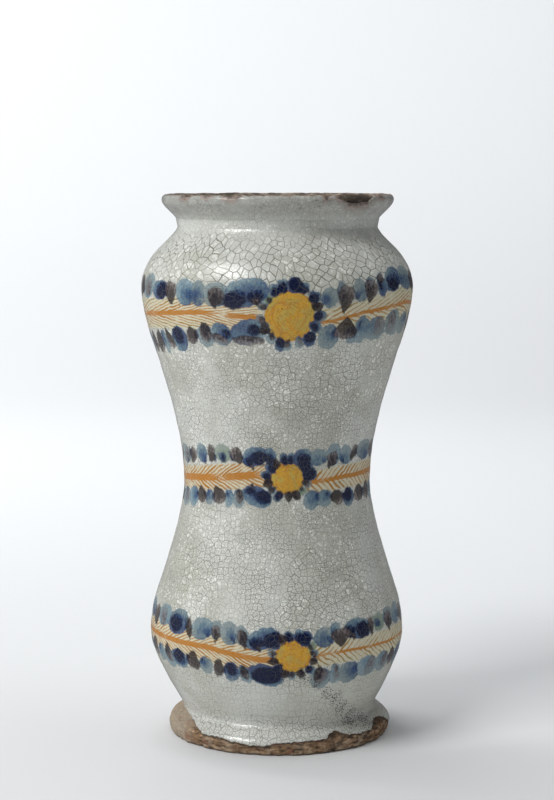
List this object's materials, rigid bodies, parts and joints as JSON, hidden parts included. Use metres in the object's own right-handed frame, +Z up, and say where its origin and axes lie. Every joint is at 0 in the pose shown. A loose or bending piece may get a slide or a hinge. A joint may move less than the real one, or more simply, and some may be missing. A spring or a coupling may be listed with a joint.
{
  "type": "albarello",
  "caption": "Waisted tin-glazed earthenware drug jar with a splayed bare-clay foot, a narrow neck, an everted lip and an open mouth, for dry drugs, herbs or stems.",
  "frame": {"origin": "centre of the flat underside of the foot, where the jar stands", "axes": "+Z up along the wheel axis, towards the mouth; the painted front with the full flowers faces -Y; +X is to the right seen from the front"},
  "size_m": [0.14, 0.14, 0.28],
  "materials": {
    "bare_clay": "matt fired clay, worn and soiled",
    "painted_tin_glaze": "glossy crackled white tin glaze with painted garlands",
    "plain_glaze": "thin glossy crackled glaze"
  },
  "bodies": {
    "root": {"clay_body": "bare_clay", "outer_glaze": "painted_tin_glaze", "inner_glaze": "plain_glaze"}
  },
  "joints": []
}
